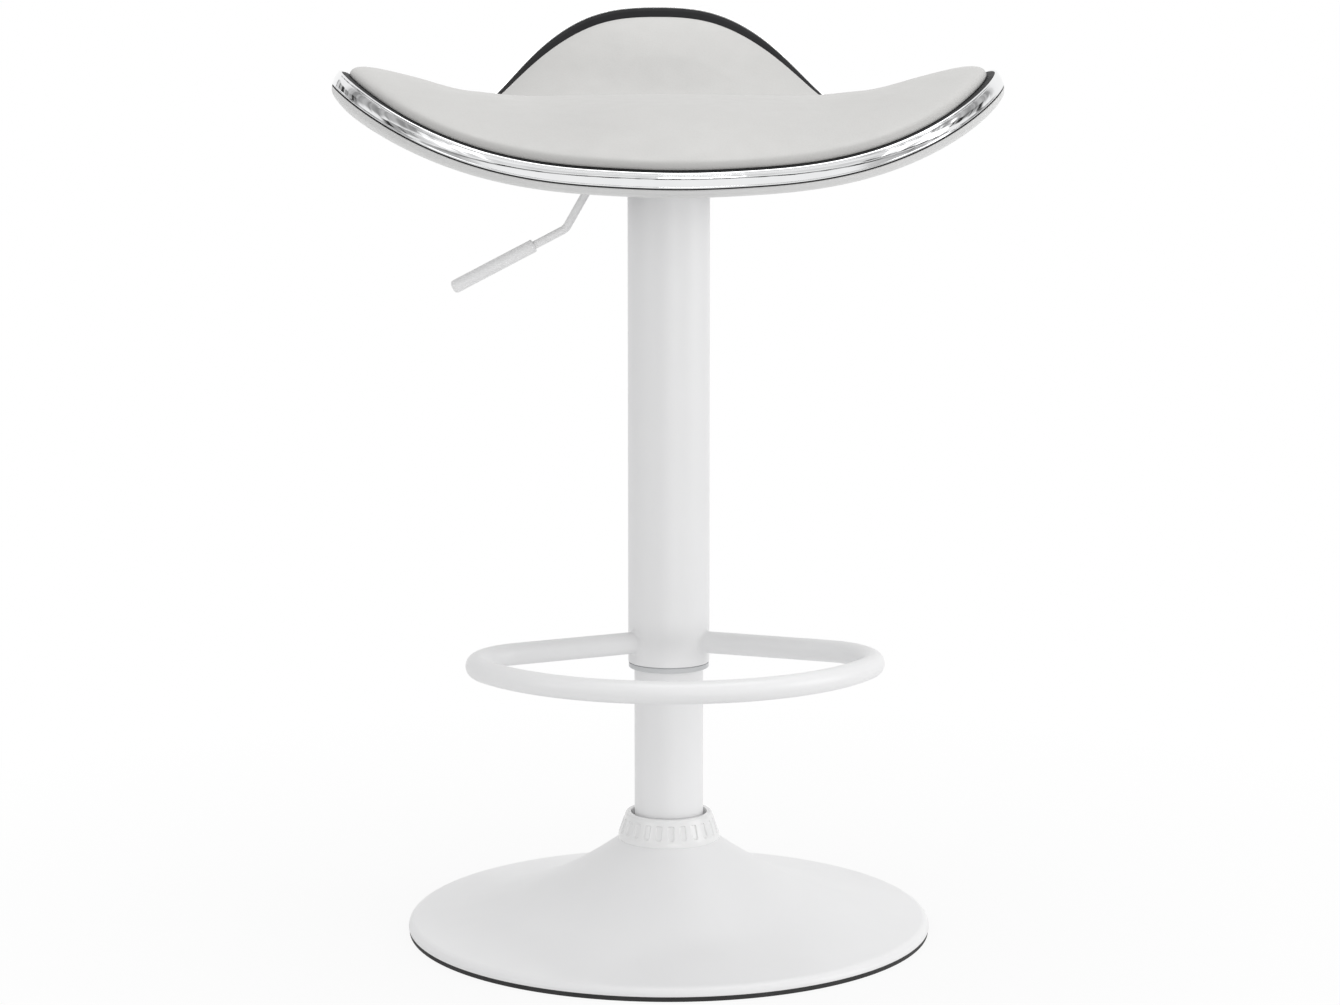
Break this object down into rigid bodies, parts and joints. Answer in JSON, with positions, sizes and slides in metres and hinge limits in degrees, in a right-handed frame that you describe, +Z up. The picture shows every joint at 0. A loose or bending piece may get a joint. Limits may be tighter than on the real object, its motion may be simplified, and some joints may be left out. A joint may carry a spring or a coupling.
{
  "type": "bar stool",
  "caption": "Height-adjustable swivel bar stool: saddle seat with bright edge trim, gas lift with a release lever, looped footrest and round trumpet base.",
  "frame": {"origin": "on the floor, on the axis of the column", "axes": "+Z up, -Y towards the front of the seat and the footrest's arc, +X to the right as seen from the front"},
  "size_m": [0.4862, 0.4088, 0.6823],
  "materials": {
    "rubber_black": "matt black rubber",
    "white_coat": "satin white powder coat",
    "steel_plate": "dark rolled steel",
    "zinc_steel": "zinc-plated steel",
    "bright_rod": "hard-chromed rod",
    "guide_plastic": "light grey guide plastic",
    "white_plastic": "gloss white plastic",
    "seal_plastic": "dark plastic",
    "black_steel": "black coated steel",
    "plywood": "moulded plywood",
    "upholstery": "warm light grey imitation leather, fine grain",
    "edge_black": "black edge strip",
    "chrome": "polished chrome trim",
    "shell_white": "satin white moulded plastic"
  },
  "bodies": {
    "base": {"floor_ring": "rubber_black", "base_dish": "white_coat", "base_plate": "steel_plate", "column": "white_coat", "column_flange": "steel_plate", "flange_screw_1": "zinc_steel", "flange_screw_2": "zinc_steel", "flange_screw_3": "zinc_steel", "flange_screw_4": "zinc_steel", "column_plug": "steel_plate", "column_bush": "guide_plastic", "thrust_washer": "zinc_steel", "collar_ring": "white_plastic"},
    "spindle": {"thrust_race": "zinc_steel", "piston_rod": "bright_rod", "piston": "seal_plastic", "rod_clip": "zinc_steel"},
    "seat_assembly": {"gas_cylinder": "black_steel", "rod_guide": "seal_plastic", "taper_socket": "black_steel", "lift_tube": "white_coat", "tube_bush": "guide_plastic", "tube_cap": "seal_plastic", "footrest": "white_coat", "mount_plate": "black_steel", "mechanism_box": "black_steel", "pivot_pin": "zinc_steel", "spacer_1": "zinc_steel", "spacer_2": "zinc_steel", "spacer_3": "zinc_steel", "spacer_4": "zinc_steel", "seat_bolt_1": "zinc_steel", "seat_bolt_2": "zinc_steel", "seat_bolt_3": "zinc_steel", "seat_bolt_4": "zinc_steel", "tee_nut_1": "zinc_steel", "tee_nut_2": "zinc_steel", "tee_nut_3": "zinc_steel", "tee_nut_4": "zinc_steel", "seat_board": "plywood", "cushion": "upholstery", "edge_strip": "edge_black", "chrome_trim": "chrome", "under_shell": "shell_white"},
    "lever": {"lever_rod": "white_coat", "lever_grip": "white_plastic"},
    "release": {"release_pin": "zinc_steel"}
  },
  "joints": [
    {"name": "swivel", "type": "hinge", "parent": "base", "child": "spindle", "pos_m": [0, 0, 0.054], "axis": [0, 0, 1], "continuous": true},
    {"name": "lift", "type": "slide", "parent": "spindle", "child": "seat_assembly", "axis": [0, 0, 1], "range_m": [0, 0.21]},
    {"name": "lever_pull", "type": "hinge", "parent": "seat_assembly", "child": "lever", "pos_m": [-0.04, 0, 0.556], "axis": [0, 1, 0], "range_deg": [0, 5], "stiffness_Nm_per_rad": 2},
    {"name": "pin_press", "type": "slide", "parent": "seat_assembly", "child": "release", "axis": [0, 0, -1], "range_m": [0, 0.0045]}
  ],
  "couplings": [
    {"joint": "pin_press", "follows": "lever_pull", "m_per_rad": 0.0445}
  ]
}
